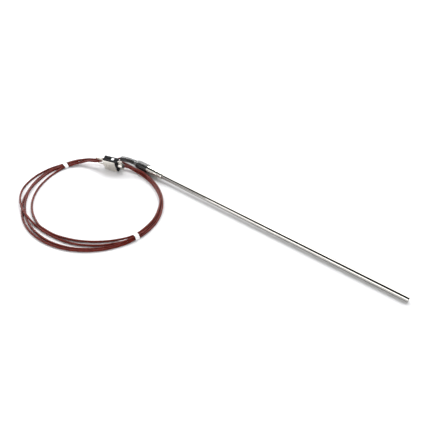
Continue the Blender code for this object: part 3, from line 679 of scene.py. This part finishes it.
def make_straps():
    """Two bent strips that grip the lead's grommet between round arches, with their two screws."""
    seat = GAP / 2
    inner = GROMMET_RADIUS + 0.1 * MM
    reach = 7.4 * MM
    outside = inner + STRAP_THICKNESS
    for name, side, node in (("lead_strap_front", -1, "clamp_saddle"),
                             ("lead_strap_back", 1, "clamp_bracket")):
        under = []
        over = []
        for step in range(25):
            angle = math.pi * step / 24
            under.append((side * max(seat, inner * math.sin(angle)), inner * math.cos(angle)))
            over.append((side * max(seat + STRAP_THICKNESS, outside * math.sin(angle)),
                         outside * math.cos(angle)))
        outline = ([(side * seat, reach)] + under
                   + [(side * seat, -reach), (side * (seat + STRAP_THICKNESS), -reach)]
                   + over[::-1] + [(side * (seat + STRAP_THICKNESS), reach)])
        strap = solid(name, outline, PLUG_LENGTH / 2 + GAP, STRAP_BACK_X, "x")
        fitted(strap, "plated_steel", node)
    x = (PLUG_LENGTH / 2 + STRAP_BACK_X) / 2 + 0.6 * MM
    for name, side, turn, node in (("strap_screw_upper", 1, 0.9, "clamp_screw_upper"),
                                   ("strap_screw_lower", -1, 2.6, "clamp_screw_lower")):
        make_screw(name, x, -STRAP_THICKNESS - seat, side * 5.4 * MM, 1.1 * MM, 0.7 * MM, turn, node)


def make_grommet():
    """The ribbed rubber grommet where the lead enters the plug."""
    start = PLUG_LENGTH / 2 + 0.05 * MM
    end = STRAP_BACK_X + 2.2 * MM
    bore = CORD_RADIUS + 0.03 * MM
    outline = [(start, bore), (start, GROMMET_RADIUS)]
    for step in range(1, 24):
        along = step / 24
        rib = 0.12 * MM * (1 + math.cos(step * math.pi / 2)) / 2
        outline.append((start + (end - start) * along, GROMMET_RADIUS - rib - 0.3 * MM * along))
    outline += [(end, GROMMET_RADIUS - 0.55 * MM), (end, bore)]
    fitted(turned("lead_grommet", outline, PLUG, 48), "grommet_rubber", "cable_grommet")


def make_label():
    top = PLUG_WIDTH / 2
    outline = rounded_rectangle((1.2 * MM, -0.9 * MM), (4.6 * MM, 2.1 * MM), 0.35 * MM)
    label = solid("plug_label", outline, top + 0.02 * MM, top + 0.35 * MM, "z")
    fitted(label, "label_white", "write_on_label")


make_sheath()
make_collar()
make_sleeve()
make_strain_relief()
make_tie("tie_by_the_plug", TIE_ANGLES[0], "coil_tie_1")
make_tie("tie_opposite", TIE_ANGLES[1], "coil_tie_2")
make_plate()
make_straps()
make_grommet()
make_label()

for part in frame["record"]["subparts"]:
    node = frame["nodes"][part["node"]]
    node.data.materials.clear()
    node.data.materials.append(FINISHES[part["material_slot"]])

# ---------------------------------------------------------------- table and light

# Degrees round from the near horizon over the top to the far horizon, and how bright it is there
WALLS = ((25, 0.95), (46, 0.9), (50, 0.0), (98, 0.0), (103, 0.7), (130, 0.8), (160, 0.95))


def make_table():
    shape = bmesh.new()
    bmesh.ops.create_grid(shape, x_segments=1, y_segments=1, size=6)
    table = finished("table", shape, Matrix.Identity(4))
    surface = Finish("table_surface", 0.9)
    surface.colour(surface.noise(3.0, 2.0), (0.87, 0.87, 0.885), (0.89, 0.89, 0.90))
    table.data.materials.append(surface.material)


def soft_light(name, place, towards, size, power):
    data = bpy.data.lights.new(name, "AREA")
    data.shape = "RECTANGLE"
    data.size, data.size_y = size
    data.energy = power
    lamp = bpy.data.objects.new(name, data)
    bpy.context.collection.objects.link(lamp)
    lamp.location = place
    lamp.rotation_euler = (Vector(towards) - Vector(place)).to_track_quat("-Z", "Y").to_euler()


def make_studio():
    """White walls, a grey far ceiling, and a dark strip from high on the near side to overhead."""
    world = bpy.data.worlds.new("studio")
    world.use_nodes = True
    nodes = world.node_tree.nodes
    links = world.node_tree.links
    direction = nodes.new("ShaderNodeTexCoord")
    parts = nodes.new("ShaderNodeSeparateXYZ")
    links.new(direction.outputs["Generated"], parts.inputs["Vector"])
    near = nodes.new("ShaderNodeMath")
    near.operation = "MULTIPLY"
    near.inputs[1].default_value = -1
    links.new(parts.outputs["Y"], near.inputs[0])
    around = nodes.new("ShaderNodeMath")
    around.operation = "ARCTAN2"
    links.new(parts.outputs["Z"], around.inputs[0])
    links.new(near.outputs["Value"], around.inputs[1])
    share = nodes.new("ShaderNodeMapRange")
    share.inputs["From Max"].default_value = math.pi
    links.new(around.outputs["Value"], share.inputs["Value"])
    ramp = nodes.new("ShaderNodeValToRGB")
    stops = [(0.0, 1.0)] + [(degrees / 180, level) for degrees, level in WALLS]
    while len(ramp.color_ramp.elements) < len(stops):
        ramp.color_ramp.elements.new(0.5)
    for element, (position, level) in zip(ramp.color_ramp.elements, stops):
        element.position = position
        element.color = (level, level, level, 1)
    links.new(share.outputs["Result"], ramp.inputs["Fac"])
    links.new(ramp.outputs["Color"], nodes["Background"].inputs["Color"])
    nodes["Background"].inputs["Strength"].default_value = 0.9
    return world


make_table()
soft_light("behind", (-0.3, 1.5, 1.6), (0, 0, 0), (3.4, 2.2), 75)
soft_light("left", (-2.2, 0.3, 1.3), (0, -0.05, 0), (1.2, 1.2), 34)
soft_light("front", (0.2, -2.2, 0.9), (0, -0.05, 0), (2.8, 0.7), 26)

bpy.context.scene.world = make_studio()
bpy.context.scene.view_settings.view_transform = "Standard"
